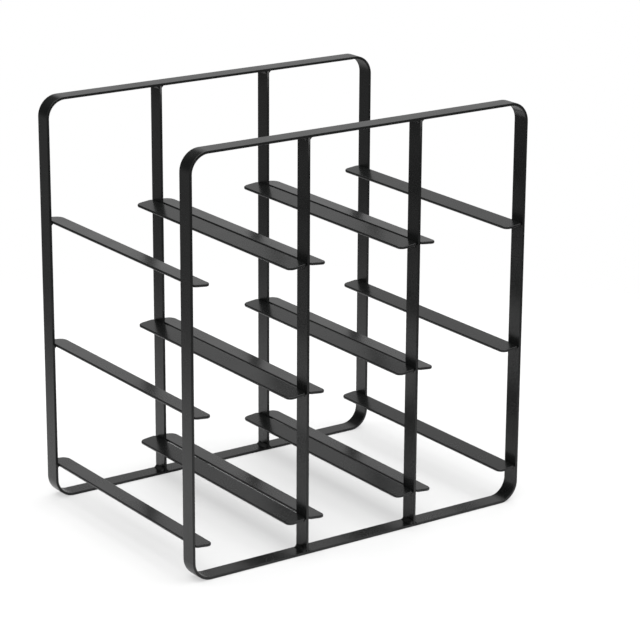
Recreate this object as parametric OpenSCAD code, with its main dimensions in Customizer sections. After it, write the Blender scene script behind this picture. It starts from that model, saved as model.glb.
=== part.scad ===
// Welded flat-bar rack that holds wine bottles lying down, three to a level.
//
// Two closed hoops of flat bar stand one behind the other. Two uprights of the same bar divide
// each hoop into three equal columns. At every level, pairs of flat rest strips run from the
// front hoop to the back hoop and carry the bottles on their free edges. Every joint is welded.
//
// The origin is on the floor at the middle of the footprint. +X is to the right, +Y to the back
// and +Z up. All lengths are in millimetres and all angles in degrees.

/* [Overall size] */
// Width over the hoops
rack_w = 285; // [260:5:340]
// Height over the hoops
rack_h = 305; // [295:5:345]
// Depth from the front of the front hoop to the back of the back hoop
rack_d = 205; // [160:5:260]

/* [Hoops and uprights] */
// Width of the flat bar, measured front to back
bar_w = 13; // [10:1:20]
// Thickness of the flat bar
bar_t = 2; // [1.5:0.25:2.5]
// Outer radius of the four bent corners of a hoop
corner_r = 15; // [8:1:22]

/* [Rest strips] */
// Width of a rest strip
rest_w = 15; // [12:0.5:22]
// Thickness of a rest strip
rest_t = 2; // [1.5:0.25:2.5]
// Radius of the two corners on the free edge of a rest strip
rest_corner_r = 5; // [1:0.5:8]
// Radius of the two corners on the welded edge of a rest strip
rest_root_r = 3; // [1:0.5:3.5]
// Slope of a rest strip, down from its bar towards the middle of the bottle's cell
rest_tilt = 6; // [0:0.5:12]
// Height of the welded edges of the lowest rest strips
first_level = 28; // [28:1:36]
// Height from one level of rest strips to the next
level_pitch = 93.5; // [88:0.5:98]

/* [Welds] */
// Leg length of a weld fillet
weld_leg = 2.5; // [1:0.25:3]
// Distance from the end of a weld fillet to the edge of the bar
weld_inset = 0.5; // [0.5:0.25:2]

/* [Hidden] */
$fn = 96;

LEVELS = ["lower", "middle", "upper"];
SIDES = ["left", "right"];
COLUMNS = 3;
RESTS = 2 * COLUMNS;

coat = [0.13, 0.13, 0.135];

// Clear width of one column, and the middle of the upright between two columns
column_w = (rack_w - (COLUMNS + 1) * bar_t) / COLUMNS;
upright_x = (column_w + bar_t) / 2;

// The middle of each hoop, front to back
hoop_y = (rack_d - bar_w) / 2;

// Inside faces of the top and bottom bars of a hoop
inside_low = bar_t;
inside_high = rack_h - bar_t;

// Thickness of a tilted rest strip, measured straight up and down
rest_drop = rest_t / cos(rest_tilt);

// Left wall of the cell that rest strip i lies in. Strips are counted from the left, two to a
// column, so an odd one hangs on its column's left wall and an even one on its right wall.
function column_of(i) = floor((i - 1) / 2);
function is_left(i) = i % 2 == 1;
function column_left(c) = -rack_w / 2 + bar_t + c * (column_w + bar_t);
function wall_x(i) = column_left(column_of(i)) + (is_left(i) ? 0 : column_w);
function level_z(l) = first_level + l * level_pitch;

// A rectangle with round corners, centred across and standing on y = 0
module round_rectangle(w, h, r) {
    translate([-w / 2, r]) square([w, h - 2 * r]);
    translate([-w / 2 + r, 0]) square([w - 2 * r, h]);
    for (x = [-w / 2 + r, w / 2 - r], y = [r, h - r]) translate([x, y]) circle(r);
}

// Turns an outline drawn in X and Z into a solid of this depth, centred on y = 0
module along_y(depth) {
    translate([0, depth / 2, 0]) rotate([90, 0, 0]) linear_extrude(depth) children();
}

// One closed loop of flat bar, bent at four corners and butt-welded to itself
module hoop(y) {
    color(coat) translate([0, y, 0]) along_y(bar_w) difference() {
        round_rectangle(rack_w, rack_h, corner_r);
        translate([0, bar_t]) round_rectangle(rack_w - 2 * bar_t, rack_h - 2 * bar_t, corner_r - bar_t);
    }
}

// One upright, fitted between the bottom bar and the top bar of its hoop
module upright(x, y) {
    color(coat)
        translate([x - bar_t / 2, y - bar_w / 2, inside_low])
        cube([bar_t, bar_w, inside_high - inside_low]);
}

// Outline of a rest strip before it is tilted. All four corners are round. Between its corners
// the welded edge runs on past x = 0, so that it can be dressed flat to the bar.
module rest_outline() {
    spare = rest_t;
    free_r = rest_corner_r;
    root_r = rest_root_r;
    half = rack_d / 2;
    translate([root_r, -half]) square([rest_w - root_r - free_r, rack_d]);
    translate([root_r, -half + free_r]) square([rest_w - root_r, rack_d - 2 * free_r]);
    translate([-spare, -half + root_r]) square([spare + rest_w - free_r, rack_d - 2 * root_r]);
    for (side = [-1, 1]) {
        translate([rest_w - free_r, side * (half - free_r)]) circle(free_r);
        translate([root_r, side * (half - root_r)]) circle(root_r);
    }
}

// A rest strip on the left wall of a cell, with the top of its welded edge at the origin
module left_wall_rest() {
    intersection() {
        rotate([0, rest_tilt, 0]) translate([0, 0, -rest_t]) linear_extrude(rest_t) rest_outline();
        translate([0, -rack_d, -rack_h]) cube([rack_w, 2 * rack_d, 2 * rack_h]);
    }
}

// Places what hangs on a left wall, mirrored where the wall is a right one
module on_wall(i, z) {
    translate([wall_x(i), 0, z]) mirror([is_left(i) ? 0 : 1, 0, 0]) children();
}

module rest_strip(i, l) {
    color(coat) on_wall(i, level_z(l)) left_wall_rest();
}

// The weld fillets under every rest strip where it meets one hoop and its uprights. Each one
// runs as far as the strip's straight edge touches the bar. hoop_side is -1 at the front.
module rest_welds(hoop_side) {
    reach = weld_leg * cos(rest_tilt);
    dip = weld_leg * sin(rest_tilt);
    inner_end = rack_d / 2 - bar_w + weld_inset;
    outer_end = rack_d / 2 - rest_root_r;
    color(coat) translate([0, hoop_side * (inner_end + outer_end) / 2, 0])
        for (l = [0 : len(LEVELS) - 1], i = [1 : RESTS]) on_wall(i, level_z(l) - rest_drop)
            along_y(outer_end - inner_end)
            polygon([[0, 0], [0, -weld_leg], [reach, -dip]]);
}

// The weld fillets on both sides of each upright's top and bottom end
module upright_welds(y) {
    color(coat) translate([0, y, 0])
        for (x = [-upright_x, upright_x], side = [-1, 1], end = [0, 1])
            translate([x + side * bar_t / 2, 0, end == 0 ? inside_low : inside_high])
            mirror([side < 0 ? 1 : 0, 0, 0])
            mirror([0, 0, end])
            along_y(bar_w - 2 * weld_inset)
            polygon([[0, 0], [weld_leg, 0], [0, weld_leg]]);
}

hoop(-hoop_y);  // front_hoop
hoop(hoop_y);  // back_hoop
upright(-upright_x, -hoop_y);  // front_left_upright
upright(upright_x, -hoop_y);  // front_right_upright
upright(-upright_x, hoop_y);  // back_left_upright
upright(upright_x, hoop_y);  // back_right_upright
for (l = [0 : len(LEVELS) - 1], i = [1 : RESTS])
    rest_strip(i, l);
rest_welds(-1);  // front_rest_welds
rest_welds(1);  // back_rest_welds
upright_welds(-hoop_y);  // front_upright_welds
upright_welds(hoop_y);  // back_upright_welds
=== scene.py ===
"""The looks of a welded flat-bar wine rack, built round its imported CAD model.

Every steel piece is a mesh made here: bars and strips with rolled, coated edges, hoops bent at their
four corners, and rippled weld beads at every joint. All of them wear the same satin black powder coat.
Lengths are in metres, in the frame of the CAD model.
"""
import math

import bmesh
import bpy
from mathutils import Matrix, Vector, noise


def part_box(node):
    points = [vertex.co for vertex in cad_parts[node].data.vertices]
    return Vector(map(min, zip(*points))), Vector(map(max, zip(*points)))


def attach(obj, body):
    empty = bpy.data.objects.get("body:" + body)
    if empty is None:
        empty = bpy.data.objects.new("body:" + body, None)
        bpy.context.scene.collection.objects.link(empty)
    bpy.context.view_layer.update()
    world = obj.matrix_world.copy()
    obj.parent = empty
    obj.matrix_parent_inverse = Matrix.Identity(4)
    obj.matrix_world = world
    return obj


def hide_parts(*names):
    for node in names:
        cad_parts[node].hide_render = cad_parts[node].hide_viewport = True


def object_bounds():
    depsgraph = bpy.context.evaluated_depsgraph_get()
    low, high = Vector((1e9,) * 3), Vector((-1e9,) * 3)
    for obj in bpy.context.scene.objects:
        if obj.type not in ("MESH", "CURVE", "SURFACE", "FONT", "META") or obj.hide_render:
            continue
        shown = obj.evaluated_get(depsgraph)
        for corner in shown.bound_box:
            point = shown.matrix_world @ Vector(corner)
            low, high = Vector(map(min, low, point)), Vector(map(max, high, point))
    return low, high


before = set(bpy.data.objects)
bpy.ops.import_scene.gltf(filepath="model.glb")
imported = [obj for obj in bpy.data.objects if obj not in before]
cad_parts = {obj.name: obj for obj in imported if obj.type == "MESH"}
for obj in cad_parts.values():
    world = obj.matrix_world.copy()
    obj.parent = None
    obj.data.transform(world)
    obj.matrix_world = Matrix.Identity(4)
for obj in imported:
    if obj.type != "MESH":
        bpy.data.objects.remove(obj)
CAD_LOW, CAD_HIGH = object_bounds()
CENTRE = (CAD_LOW + CAD_HIGH) / 2

MM = 0.001
HOOPS = ("front", "back")
LEVELS = ("lower", "middle", "upper")
RESTS = 6

# Sizes that a node's box doesn't give, as in the CAD model
HOOP_CORNER_R = 15 * MM
REST_T = 2 * MM
REST_FREE_R = 5 * MM
REST_ROOT_R = 3 * MM
REST_TILT = math.radians(6)
WELD_LEG = 2.5 * MM
WELD_INSET = 0.5 * MM

# Rounding of the edges of the hoops' and uprights' bar, and of the rest strips, which are rounder
EDGE_R = 0.3 * MM
EDGE_STEPS = 4
REST_EDGE_R = 0.7 * MM
REST_EDGE_STEPS = 6

# How far each edge of the bar swells on the inside of a bend, and draws in on the outside
BEND_SWELL = 0.08 * MM

# How many stretches a mesh is cut into along each straight side and bend of a hoop, along an upright,
# and along each long side and corner of a rest strip
HOOP_STRAIGHT_STEPS = 8
HOOP_BEND_STEPS = 18
UPRIGHT_STEPS = 16
REST_SIDE_STEPS = 12
REST_CORNER_STEPS = 10


# ---------------------------------------------------------------- meshes

# Lets the largest faces alone decide how the surface is shaded at their edges
FLAT_FACE_WEIGHT = 100


def finish_mesh(name, bm, edge_weight=None):
    """Turns a bmesh into a smooth-shaded object whose flat faces stay flat. edge_weight, where given,
    tells the coat how near each vertex is to an edge."""
    bmesh.ops.recalc_face_normals(bm, faces=bm.faces)
    mesh = bpy.data.meshes.new(name)
    bm.to_mesh(mesh)
    bm.free()
    mesh.shade_smooth()
    obj = bpy.data.objects.new(name, mesh)
    bpy.context.scene.collection.objects.link(obj)
    if edge_weight is not None:
        attribute = mesh.attributes.new("edge", "FLOAT", "POINT")
        attribute.data.foreach_set("value", edge_weight)
    normals = obj.modifiers.new("flat_faces", "WEIGHTED_NORMAL")
    normals.weight = FLAT_FACE_WEIGHT
    return obj


def bridge_rings(bm, rings, closed):
    """Joins rings of vertices, each with as many points, with quads. closed joins the last to the first."""
    count = len(rings[0])
    last = len(rings) if closed else len(rings) - 1
    for i in range(last):
        here, there = rings[i], rings[(i + 1) % len(rings)]
        for j in range(count):
            k = (j + 1) % count
            bm.faces.new((here[j], here[k], there[k], there[j]))


def rounded_section(width, thickness, radius):
    """Outline of a bar's cross-section as (across, through, edge) points, where edge is 1 on the middle
    of a rounded corner and 0 on a flat."""
    points = []
    corners = ((1, 1, 0), (-1, 1, 1), (-1, -1, 2), (1, -1, 3))
    for across, through, turn in corners:
        middle = (across * (width / 2 - radius), through * (thickness / 2 - radius))
        for step in range(EDGE_STEPS + 1):
            share = step / EDGE_STEPS
            angle = math.radians(90) * (turn + share)
            points.append((
                middle[0] + radius * math.cos(angle),
                middle[1] + radius * math.sin(angle),
                math.sin(math.pi * share),
            ))
    return points


def hoop_path(width, height, radius):
    """Stations round a hoop, as (point, outward normal, bend) in X and Z, where bend is 1 in a corner."""
    stations = []
    half = width / 2 - radius
    corners = (
        (half, radius, -90), (half, height - radius, 0),
        (-half, height - radius, 90), (-half, radius, 180),
    )
    for index, (x, z, start) in enumerate(corners):
        for step in range(HOOP_BEND_STEPS + 1):
            share = step / HOOP_BEND_STEPS
            angle = math.radians(start + 90 * share)
            normal = Vector((math.cos(angle), math.sin(angle)))
            bend = math.sin(math.pi * share)
            stations.append((Vector((x, z)) + normal * radius, normal, bend))
        next_x, next_z, next_start = corners[(index + 1) % len(corners)]
        normal = stations[-1][1]
        begin, end = stations[-1][0], Vector((next_x, next_z)) + normal * radius
        for step in range(1, HOOP_STRAIGHT_STEPS):
            stations.append((begin.lerp(end, step / HOOP_STRAIGHT_STEPS), normal, 0.0))
    return stations


def make_hoop(name, node, thickness):
    """A closed loop of flat bar, with the slight swelling that bending gives a bar's edges."""
    low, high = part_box(node)
    width, depth, height = high - low
    middle_y = (low.y + high.y) / 2
    section = rounded_section(depth, thickness, EDGE_R)
    bm = bmesh.new()
    rings, edge_weight = [], []
    mid_radius = HOOP_CORNER_R - thickness / 2
    path = hoop_path(width - thickness, height - thickness, mid_radius)
    for point, normal, bend in path:
        ring = []
        for across, through, edge in section:
            swell = 1 - BEND_SWELL * bend * (through / (thickness / 2)) / (depth / 2)
            at = point + normal * through
            position = (at.x, middle_y + across * swell, at.y + low.z + thickness / 2)
            ring.append(bm.verts.new(position))
            edge_weight.append(edge)
        rings.append(ring)
    bridge_rings(bm, rings, closed=True)
    return finish_mesh(name, bm, edge_weight)


def make_upright(name, node):
    """A straight length of flat bar between the bottom and the top bar of its hoop."""
    low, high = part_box(node)
    thickness, depth, height = high - low
    middle = (low + high) / 2
    section = rounded_section(depth, thickness, EDGE_R)
    bm = bmesh.new()
    rings, edge_weight = [], []
    for step in range(UPRIGHT_STEPS + 1):
        z = low.z + height * step / UPRIGHT_STEPS
        ring = []
        for across, through, edge in section:
            ring.append(bm.verts.new((middle.x - through, middle.y + across, z)))
            edge_weight.append(edge)
        rings.append(ring)
    bridge_rings(bm, rings, closed=False)
    bm.faces.new(rings[0])
    bm.faces.new(rings[-1])
    return finish_mesh(name, bm, edge_weight)


def rest_outline(width, length, inset, root):
    """Outline of a rest strip in its own plane, as (out from the bar, along) points. Its two free
    corners are rounder than its two corners at the bar, which start at root."""
    u_root, u_free, v = root + inset, width - inset, length / 2 - inset
    free_r, root_r = REST_FREE_R - inset, REST_ROOT_R - inset
    corners = (
        (u_free - free_r, -v + free_r, free_r, -90),
        (u_free - free_r, v - free_r, free_r, 0),
        (u_root + root_r, v - root_r, root_r, 90),
        (u_root + root_r, -v + root_r, root_r, 180),
    )
    arcs = []
    for u, along, radius, start in corners:
        arc = []
        for step in range(REST_CORNER_STEPS + 1):
            angle = math.radians(start + 90 * step / REST_CORNER_STEPS)
            arc.append(Vector((u + radius * math.cos(angle), along + radius * math.sin(angle))))
        arcs.append(arc)
    shares = [step / REST_SIDE_STEPS for step in range(1, REST_SIDE_STEPS)]
    free_side = [arcs[0][-1].lerp(arcs[1][0], share) for share in shares]
    root_side = [arcs[2][-1].lerp(arcs[3][0], share) for share in shares]
    return arcs[0] + free_side + arcs[1] + arcs[2] + root_side + arcs[3]


def make_rest_strip(name, node, on_left_wall):
    """A flat strip with rolled edges, tilted down from the bar that it is welded to."""
    low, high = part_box(node)
    side = 1 if on_left_wall else -1
    wall = low.x if on_left_wall else high.x
    cos_tilt, sin_tilt = math.cos(REST_TILT), math.sin(REST_TILT)
    width = (high.x - low.x) / cos_tilt
    length = high.y - low.y
    middle_y = (low.y + high.y) / 2

    levels = []
    for step in range(REST_EDGE_STEPS + 1):
        share = step / REST_EDGE_STEPS
        angle = math.radians(90) * share
        inset = REST_EDGE_R * (1 - math.sin(angle))
        drop = REST_EDGE_R * (1 - math.cos(angle))
        levels.append((inset, -drop, math.sin(math.pi * share)))
    levels += [(inset, -REST_T - drop, edge) for inset, drop, edge in reversed(levels)]

    bm = bmesh.new()
    rings, edge_weight = [], []
    for inset, through, edge in levels:
        ring = []
        root = -through * math.tan(REST_TILT)
        for out, along in rest_outline(width, length, inset, root):
            x = wall + side * (out * cos_tilt + through * sin_tilt)
            z = high.z - out * sin_tilt + through * cos_tilt
            ring.append(bm.verts.new((x, middle_y + along, z)))
            edge_weight.append(edge)
        rings.append(ring)
    bridge_rings(bm, rings, closed=False)
    bm.faces.new(rings[0])
    bm.faces.new(rings[-1])
    return finish_mesh(name, bm, edge_weight)


# ---------------------------------------------------------------- weld beads

# Stretches along a bead and facets across it
BEAD_STATIONS = 34
BEAD_FACETS = 7

# How far a bead's face is from flat towards a round hollow
BEAD_HOLLOW = 0.25

# Ripples along a bead, how far each one bows as a share of their pitch, and their height as a share of
# the bead's size
RIPPLE_PITCH = 1.1 * MM
RIPPLE_BOW = 0.5
RIPPLE_DEPTH = 0.05

# Slow changes in a bead's size, as a share of it, and how many there are from its middle to an end
BEAD_WOBBLE = 0.08
WOBBLES = 2.2

# How squarely a bead ends, and the share of its size that is left there
BEAD_END_POWER = 8
BEAD_END_SHARE = 0.7

# How far the hidden root of a bead reaches into the steel
BURY = 0.2 * MM

# Steps between the seeds of neighbouring beads, so that no two look alike
SEED_SPREAD = 7.3
SEED_PER_HOOP = 0.5
SEED_PER_REST = 0.37
SEED_PER_LEVEL = 1.71
SEED_PER_UPRIGHT = 0.61
SEED_PER_SIDE = 0.23
SEED_PER_END = 0.4


def add_bead(bm, middle, along_a, along_b, length, seed):
    """A slightly hollow fillet weld in the corner between two faces. It runs along Y, with its feet on
    the unit directions a and b, and has the faint curved ripples that a moving weld pool leaves."""
    rings = []
    a, b = Vector(along_a), Vector(along_b)
    inward = -(a + b).normalized() * BURY
    for station in range(BEAD_STATIONS + 1):
        share = 2 * station / BEAD_STATIONS - 1
        y = share * length / 2
        end = math.sqrt(max(1 - abs(share) ** BEAD_END_POWER, 0.0))
        wobble = 1 + BEAD_WOBBLE * noise.noise(Vector((seed * SEED_SPREAD, share * WOBBLES, 0)))
        ring = []
        for facet in range(BEAD_FACETS + 1):
            across = facet / BEAD_FACETS
            angle = math.radians(90) * across
            flat = a * (1 - across) + b * across
            bulged = a * math.cos(angle) + b * math.sin(angle)
            bow = RIPPLE_BOW * RIPPLE_PITCH * math.sin(math.pi * across)
            phase = 2 * math.pi * ((y - bow) / RIPPLE_PITCH + seed)
            ripple = 1 + RIPPLE_DEPTH * math.sin(math.pi * across) * math.sin(phase)
            reach = WELD_LEG * (BEAD_END_SHARE + (1 - BEAD_END_SHARE) * end) * wobble * ripple
            at = (flat * (1 + BEAD_HOLLOW) - bulged * BEAD_HOLLOW) * reach
            ring.append(bm.verts.new(middle + at + Vector((0, y, 0))))
        ring.append(bm.verts.new(middle + inward + Vector((0, y, 0))))
        rings.append(ring)
    bridge_rings(bm, rings, closed=False)
    bm.faces.new(rings[0])
    bm.faces.new(rings[-1])


def make_rest_welds(name, hoop):
    """The beads under every rest strip where it crosses one hoop. Each runs from the bar's inner edge
    to where the strip's corner leaves the bar."""
    low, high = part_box(f"{hoop}_hoop")
    if hoop == "front":
        begin, end = low.y + REST_ROOT_R, high.y - WELD_INSET
    else:
        begin, end = low.y + WELD_INSET, high.y - REST_ROOT_R
    bm = bmesh.new()
    for level_index, level in enumerate(LEVELS):
        for index in range(1, RESTS + 1):
            rest_low, rest_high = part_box(f"{level}_rest_strip_{index}")
            on_left = index % 2 == 1
            side = 1 if on_left else -1
            wall = rest_low.x if on_left else rest_high.x
            root = rest_high.z - REST_T / math.cos(REST_TILT)
            under = (side * math.cos(REST_TILT), 0, -math.sin(REST_TILT))
            seed = SEED_PER_REST * index + SEED_PER_LEVEL * level_index + SEED_PER_HOOP * HOOPS.index(hoop)
            add_bead(bm, Vector((wall, (begin + end) / 2, root)), (0, 0, -1), under, end - begin, seed)
    return finish_mesh(name, bm)


def make_upright_welds(name, hoop, uprights):
    """The beads on both faces of each upright, where its ends meet the hoop's bars."""
    low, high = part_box(f"{hoop}_hoop")
    middle_y, length = (low.y + high.y) / 2, high.y - low.y - 2 * WELD_INSET
    bm = bmesh.new()
    for number, node in enumerate(uprights):
        up_low, up_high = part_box(node)
        for side, face in ((-1, up_low.x), (1, up_high.x)):
            for away, z in ((1, up_low.z), (-1, up_high.z)):
                seed = SEED_PER_UPRIGHT * number + SEED_PER_SIDE * side + SEED_PER_END * away
                seed += SEED_PER_HOOP * HOOPS.index(hoop)
                add_bead(bm, Vector((face, middle_y, z)), (0, 0, away), (side, 0, 0), length, seed)
    return finish_mesh(name, bm)


# ---------------------------------------------------------------- materials

# Clouds of noise, as (cells per metre, octaves of detail)
BROAD = (38.0, 3.0)
MOTTLE = (95.0, 4.0)
WEAR = (260.0, 3.0)
PEEL = (1100.0, 1.5)
FINE = (1400.0, 2.0)
GRIT = (3600.0, 2.0)
MOTTLE_DISTORTION = 0.4

# The part of a cloud's range that shows as change
CLOUD_LOW = 0.3
CLOUD_HIGH = 0.7

# Where a cloud starts to thin the coat over an edge, and how much it is thinned elsewhere
WEAR_LOW = 0.35
LEAST_WEAR = 0.15

COAT_DARK = (0.0062, 0.0066, 0.0065)
COAT_LIGHT = (0.0092, 0.0097, 0.0095)
THIN_EDGE_COLOUR = (0.014, 0.014, 0.0145)
THIN_EDGE_SHARE = 0.5

BAR_ROUGHNESS = 0.25
WELD_ROUGHNESS = 0.3
ROUGHNESS_SWING = 0.03
EDGE_SMOOTHER = 0.04

# Height of the orange peel on a bar and on a weld, and the shares of its coarse and its fine cloud
BAR_PEEL_HEIGHT = 0.015 * MM
WELD_PEEL_HEIGHT = 0.03 * MM
PEEL_SHARE = 0.8
GRIT_SHARE = 0.2
BUMP_STRENGTH = 0.5

COAT_IOR = 1.41


def powder_coat(name, roughness, peel_height):
    """Satin black powder coat: near-black with faint mottling, an orange-peel surface, and a slightly
    paler, smoother line where the coat is drawn thin over an edge."""
    material = bpy.data.materials.new(name)
    material.use_nodes = True
    nodes, links = material.node_tree.nodes, material.node_tree.links
    shader = nodes["Principled BSDF"]
    place = nodes.new("ShaderNodeTexCoord")

    def cloud(kind, distortion=0.0):
        scale, detail = kind
        texture = nodes.new("ShaderNodeTexNoise")
        texture.inputs["Scale"].default_value = scale
        texture.inputs["Detail"].default_value = detail
        texture.inputs["Distortion"].default_value = distortion
        links.new(place.outputs["Object"], texture.inputs["Vector"])
        return texture.outputs["Fac"]

    def remap(value, low, high, to_low, to_high):
        ramp = nodes.new("ShaderNodeMapRange")
        ramp.inputs["From Min"].default_value = low
        ramp.inputs["From Max"].default_value = high
        ramp.inputs["To Min"].default_value = to_low
        ramp.inputs["To Max"].default_value = to_high
        links.new(value, ramp.inputs["Value"])
        return ramp.outputs["Result"]

    def arithmetic(kind, a, b):
        node = nodes.new("ShaderNodeMath")
        node.operation = kind
        for socket, value in zip(node.inputs, (a, b)):
            if isinstance(value, float):
                socket.default_value = value
            else:
                links.new(value, socket)
        return node.outputs[0]

    def blend(share, a, b):
        node = nodes.new("ShaderNodeMix")
        node.data_type = "RGBA"
        for socket, value in ((node.inputs["A"], a), (node.inputs["B"], b)):
            if isinstance(value, tuple):
                socket.default_value = (*value, 1)
            else:
                links.new(value, socket)
        links.new(share, node.inputs["Factor"])
        return node.outputs["Result"]

    edge = nodes.new("ShaderNodeAttribute")
    edge.attribute_name = "edge"
    patchy = remap(cloud(WEAR), WEAR_LOW, CLOUD_HIGH, LEAST_WEAR, 1.0)
    edge_amount = arithmetic("MULTIPLY", edge.outputs["Fac"], patchy)

    mottle = remap(cloud(MOTTLE, MOTTLE_DISTORTION), CLOUD_LOW, CLOUD_HIGH, 0.0, 1.0)
    coat = blend(mottle, COAT_DARK, COAT_LIGHT)
    colour = blend(arithmetic("MULTIPLY", edge_amount, THIN_EDGE_SHARE), coat, THIN_EDGE_COLOUR)
    links.new(colour, shader.inputs["Base Color"])

    broad = remap(cloud(BROAD), CLOUD_LOW, CLOUD_HIGH, -ROUGHNESS_SWING, ROUGHNESS_SWING)
    fine = remap(cloud(FINE), CLOUD_LOW, CLOUD_HIGH, -ROUGHNESS_SWING, ROUGHNESS_SWING)
    rough = arithmetic("ADD", arithmetic("ADD", broad, fine), roughness)
    rough = arithmetic("SUBTRACT", rough, arithmetic("MULTIPLY", edge_amount, EDGE_SMOOTHER))
    links.new(rough, shader.inputs["Roughness"])

    peel = arithmetic("MULTIPLY", cloud(PEEL), PEEL_SHARE)
    grit = arithmetic("MULTIPLY", cloud(GRIT), GRIT_SHARE)
    height = arithmetic("ADD", peel, grit)
    bump = nodes.new("ShaderNodeBump")
    bump.inputs["Strength"].default_value = BUMP_STRENGTH
    bump.inputs["Distance"].default_value = peel_height
    links.new(height, bump.inputs["Height"])
    links.new(bump.outputs["Normal"], shader.inputs["Normal"])
    shader.inputs["IOR"].default_value = COAT_IOR
    return material


# ---------------------------------------------------------------- stage

# The camera looks along +Y turned this far towards +X, and down by this elevation, with a slight roll
CAMERA_AZIMUTH = math.radians(34.8)
CAMERA_ELEVATION = math.radians(17.6)
CAMERA_ROLL = math.radians(0.34)
CAMERA_DISTANCE = 1.907
CAMERA_LENS = 146.6
SENSOR_WIDTH = 36.0
CLIP_NEAR = 0.05
CLIP_FAR = 50.0

# The point that the camera aims at, from the middle of the rack
AIM_OFFSET = Vector((0.0202, -0.0193, -0.0121))


def direction_of(azimuth, elevation):
    """Unit direction that is turned from +Y towards +X by azimuth and points up by elevation."""
    level = math.cos(elevation)
    return Vector((math.sin(azimuth) * level, math.cos(azimuth) * level, math.sin(elevation)))


def make_camera():
    """A long lens, left of the front and a little above."""
    back = direction_of(CAMERA_AZIMUTH, -CAMERA_ELEVATION) * -1
    data = bpy.data.cameras.new("camera")
    data.sensor_width = SENSOR_WIDTH
    data.lens = CAMERA_LENS
    data.clip_start = CLIP_NEAR
    data.clip_end = CLIP_FAR
    camera = bpy.data.objects.new("camera", data)
    bpy.context.scene.collection.objects.link(camera)
    camera.location = CENTRE + AIM_OFFSET + back * CAMERA_DISTANCE
    turn = (-back).to_track_quat("-Z", "Y")
    camera.rotation_mode = "QUATERNION"
    camera.rotation_quaternion = turn @ Matrix.Rotation(CAMERA_ROLL, 3, "Z").to_quaternion()
    bpy.context.scene.camera = camera


def add_area_light(name, place, size, power):
    """A square softbox that faces the rack."""
    data = bpy.data.lights.new(name, "AREA")
    data.size = size
    data.energy = power
    light = bpy.data.objects.new(name, data)
    bpy.context.scene.collection.objects.link(light)
    light.location = place
    light.rotation_mode = "QUATERNION"
    light.rotation_quaternion = (CENTRE - Vector(place)).to_track_quat("-Z", "Y")


# The softbox hangs over the rack, in metres and watts
SOFTBOX_PLACE = (0, 0, 2.1)
SOFTBOX_SIZE = 3.4
SOFTBOX_POWER = 76

# The floor's disc, which fades from solid to clear between two radii, just below the rack
FLOOR_R = 1.2
FLOOR_SEGMENTS = 96
FLOOR_SOLID_R = 0.13
FLOOR_CLEAR_R = 0.62
FLOOR_GAP = 0.1 * MM
FLOOR_COLOUR = (0.9, 0.9, 0.9)

# How much of the floor the camera sees through, which keeps the shadows on it pale
FLOOR_SEEN_THROUGH = 0.55


def make_floor():
    """A pale tabletop that fades out into the white surround."""
    bm = bmesh.new()
    bmesh.ops.create_circle(bm, cap_ends=True, radius=FLOOR_R, segments=FLOOR_SEGMENTS)
    mesh = bpy.data.meshes.new("floor")
    bm.to_mesh(mesh)
    bm.free()
    floor = bpy.data.objects.new("floor", mesh)
    bpy.context.scene.collection.objects.link(floor)
    floor.location.z = CAD_LOW.z - FLOOR_GAP

    material = bpy.data.materials.new("pale_floor")
    material.use_nodes = True
    nodes, links = material.node_tree.nodes, material.node_tree.links
    nodes.clear()
    output = nodes.new("ShaderNodeOutputMaterial")
    surface = nodes.new("ShaderNodeBsdfDiffuse")
    surface.inputs["Color"].default_value = (*FLOOR_COLOUR, 1)
    clear = nodes.new("ShaderNodeBsdfTransparent")
    place = nodes.new("ShaderNodeTexCoord")
    radius = nodes.new("ShaderNodeVectorMath")
    radius.operation = "LENGTH"
    links.new(place.outputs["Object"], radius.inputs[0])
    fade = nodes.new("ShaderNodeMapRange")
    fade.inputs["From Min"].default_value = FLOOR_SOLID_R
    fade.inputs["From Max"].default_value = FLOOR_CLEAR_R
    links.new(radius.outputs["Value"], fade.inputs["Value"])
    path = nodes.new("ShaderNodeLightPath")
    pale = nodes.new("ShaderNodeMath")
    pale.operation = "MULTIPLY"
    pale.inputs[1].default_value = FLOOR_SEEN_THROUGH
    links.new(path.outputs["Is Camera Ray"], pale.inputs[0])
    clearness = nodes.new("ShaderNodeMath")
    clearness.operation = "MAXIMUM"
    links.new(fade.outputs["Result"], clearness.inputs[0])
    links.new(pale.outputs[0], clearness.inputs[1])
    mix = nodes.new("ShaderNodeMixShader")
    links.new(clearness.outputs[0], mix.inputs["Fac"])
    links.new(surface.outputs["BSDF"], mix.inputs[1])
    links.new(clear.outputs["BSDF"], mix.inputs[2])
    links.new(mix.outputs["Shader"], output.inputs["Surface"])
    mesh.materials.append(material)


# Brightness of the studio above and below the floor's level, and where one turns into the other, as
# the upward part of the direction looked in
ROOM_ABOVE = 0.7
ROOM_BELOW = 0.33
ROOM_TURNS_FROM = -0.12
ROOM_TURNS_TO = 0.1

# A black card behind the rack on its left, which keeps the bends dark: the direction of its middle,
# the cosines of the angles from it at which the card stops being black and ends, and how much of the
# room's light it leaves
CARD_AZIMUTH = math.radians(-15)
CARD_ELEVATION = math.radians(22)
CARD_BLACK_COSINE = math.cos(math.radians(26))
CARD_END_COSINE = math.cos(math.radians(36))
CARD_LEAVES = 0.1


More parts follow.
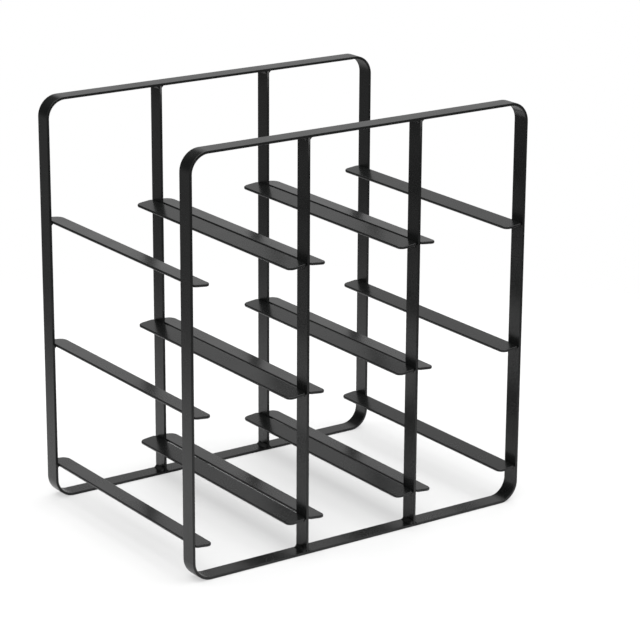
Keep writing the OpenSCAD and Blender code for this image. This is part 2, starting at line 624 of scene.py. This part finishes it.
def make_surround():
    """A background that the camera sees as white. What lights the rack is a studio with pale walls,
    darkness below them and a black card."""
    world = bpy.data.worlds.new("studio")
    bpy.context.scene.world = world
    world.use_nodes = True
    nodes, links = world.node_tree.nodes, world.node_tree.links
    nodes.clear()
    output = nodes.new("ShaderNodeOutputWorld")
    seen = nodes.new("ShaderNodeBackground")
    seen.inputs["Color"].default_value = (1, 1, 1, 1)
    light = nodes.new("ShaderNodeBackground")
    place = nodes.new("ShaderNodeTexCoord")
    split = nodes.new("ShaderNodeSeparateXYZ")
    links.new(place.outputs["Generated"], split.inputs["Vector"])
    room = nodes.new("ShaderNodeMapRange")
    room.interpolation_type = "SMOOTHSTEP"
    room.inputs["From Min"].default_value = ROOM_TURNS_FROM
    room.inputs["From Max"].default_value = ROOM_TURNS_TO
    room.inputs["To Min"].default_value = ROOM_BELOW
    room.inputs["To Max"].default_value = ROOM_ABOVE
    links.new(split.outputs["Z"], room.inputs["Value"])
    towards_card = nodes.new("ShaderNodeVectorMath")
    towards_card.operation = "DOT_PRODUCT"
    towards_card.inputs[1].default_value = direction_of(CARD_AZIMUTH, CARD_ELEVATION)
    links.new(place.outputs["Generated"], towards_card.inputs[0])
    card = nodes.new("ShaderNodeMapRange")
    card.interpolation_type = "SMOOTHSTEP"
    card.inputs["From Min"].default_value = CARD_END_COSINE
    card.inputs["From Max"].default_value = CARD_BLACK_COSINE
    card.inputs["To Min"].default_value = 1.0
    card.inputs["To Max"].default_value = CARD_LEAVES
    links.new(towards_card.outputs["Value"], card.inputs["Value"])
    glow = nodes.new("ShaderNodeMath")
    glow.operation = "MULTIPLY"
    links.new(room.outputs["Result"], glow.inputs[0])
    links.new(card.outputs["Result"], glow.inputs[1])
    links.new(glow.outputs[0], light.inputs["Strength"])
    path = nodes.new("ShaderNodeLightPath")
    mix = nodes.new("ShaderNodeMixShader")
    links.new(path.outputs["Is Camera Ray"], mix.inputs["Fac"])
    links.new(light.outputs["Background"], mix.inputs[1])
    links.new(seen.outputs["Background"], mix.inputs[2])
    links.new(mix.outputs["Shader"], output.inputs["Surface"])
    bpy.context.scene.view_settings.view_transform = "Standard"


# ---------------------------------------------------------------- assembly

def place_piece(piece, node, material):
    """Gives a piece its material and puts it in place of a CAD node."""
    piece.data.materials.append(material)
    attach(piece, "root")
    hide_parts(node)


def build_rack():
    """Makes both hoops with their uprights and welds, and the rest strips between them."""
    frame_coat = powder_coat("frame_powder_coat", BAR_ROUGHNESS, BAR_PEEL_HEIGHT)
    rest_coat = powder_coat("rest_powder_coat", BAR_ROUGHNESS, BAR_PEEL_HEIGHT)
    weld_coat = powder_coat("weld_powder_coat", WELD_ROUGHNESS, WELD_PEEL_HEIGHT)
    upright_low, upright_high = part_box("front_left_upright")
    thickness = upright_high.x - upright_low.x
    for hoop in HOOPS:
        bar = make_hoop(f"{hoop}_hoop_bar", f"{hoop}_hoop", thickness)
        place_piece(bar, f"{hoop}_hoop", frame_coat)
        uprights = [f"{hoop}_{side}_upright" for side in ("left", "right")]
        for node in uprights:
            place_piece(make_upright(f"{node}_bar", node), node, frame_coat)
        rest_beads = make_rest_welds(f"{hoop}_rest_beads", hoop)
        place_piece(rest_beads, f"{hoop}_rest_welds", weld_coat)
        upright_beads = make_upright_welds(f"{hoop}_upright_beads", hoop, uprights)
        place_piece(upright_beads, f"{hoop}_upright_welds", weld_coat)
    for level in LEVELS:
        for index in range(1, RESTS + 1):
            node = f"{level}_rest_strip_{index}"
            strip = make_rest_strip(f"{level}_rest_{index}", node, on_left_wall=index % 2 == 1)
            place_piece(strip, node, rest_coat)


build_rack()
make_floor()
make_surround()
add_area_light("softbox", SOFTBOX_PLACE, SOFTBOX_SIZE, SOFTBOX_POWER)
make_camera()

bpy.context.view_layer.update()
